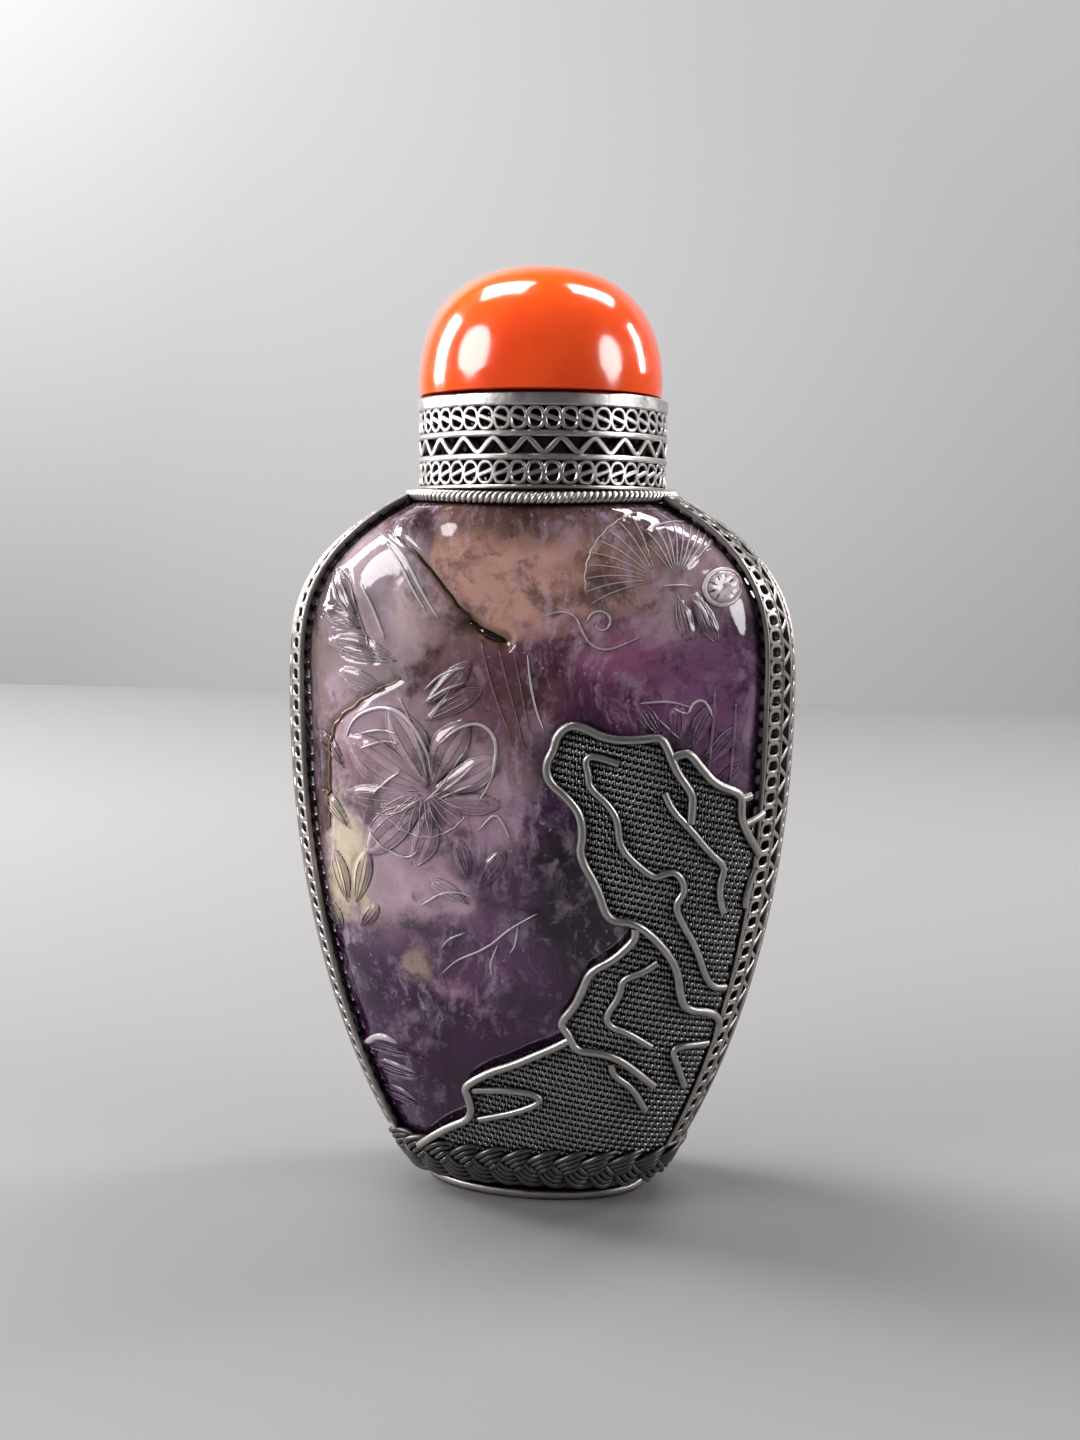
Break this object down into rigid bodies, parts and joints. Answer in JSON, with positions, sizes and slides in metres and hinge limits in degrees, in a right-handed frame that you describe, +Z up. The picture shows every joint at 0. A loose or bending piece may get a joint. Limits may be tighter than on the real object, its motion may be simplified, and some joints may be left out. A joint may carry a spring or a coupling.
{
  "type": "snuff bottle",
  "caption": "Flattened carved amethyst snuff bottle in an antique silver filigree mount, with a woven rock-shaped overlay and a coral dome that lifts off its mouth.",
  "frame": {"origin": "centre of the foot plate's underside, where the bottle stands", "axes": "+Z up, X along the bottle's width, front with the woven crag faces -Y"},
  "size_m": [0.0438, 0.0235, 0.0798],
  "materials": {
    "amethyst": "polished, carved in low relief",
    "coral": "high polish",
    "silver": "antique silver, worn bright on the wires",
    "oxidised_silver": "blackened silver wire"
  },
  "bodies": {
    "root": {"amethyst_bottle": "amethyst", "coral_cap": "coral", "neck_collar": "silver", "shoulder_rope": "silver", "side_band_right": "silver", "side_band_left": "silver", "foot_plate": "silver", "upper_crag_wire": "silver", "right_crag_wire": "silver", "lower_crag_wire": "silver", "lower_slope_wire": "silver", "vein_wire_a": "silver", "vein_wire_b": "silver", "vein_wire_c": "silver", "vein_wire_d": "silver", "vein_wire_e": "silver", "spike_wire": "silver", "base_braid_strand_a": "oxidised_silver", "base_braid_strand_b": "oxidised_silver", "base_braid_strand_c": "oxidised_silver", "rock_mesh_panel": "oxidised_silver"}
  },
  "joints": []
}
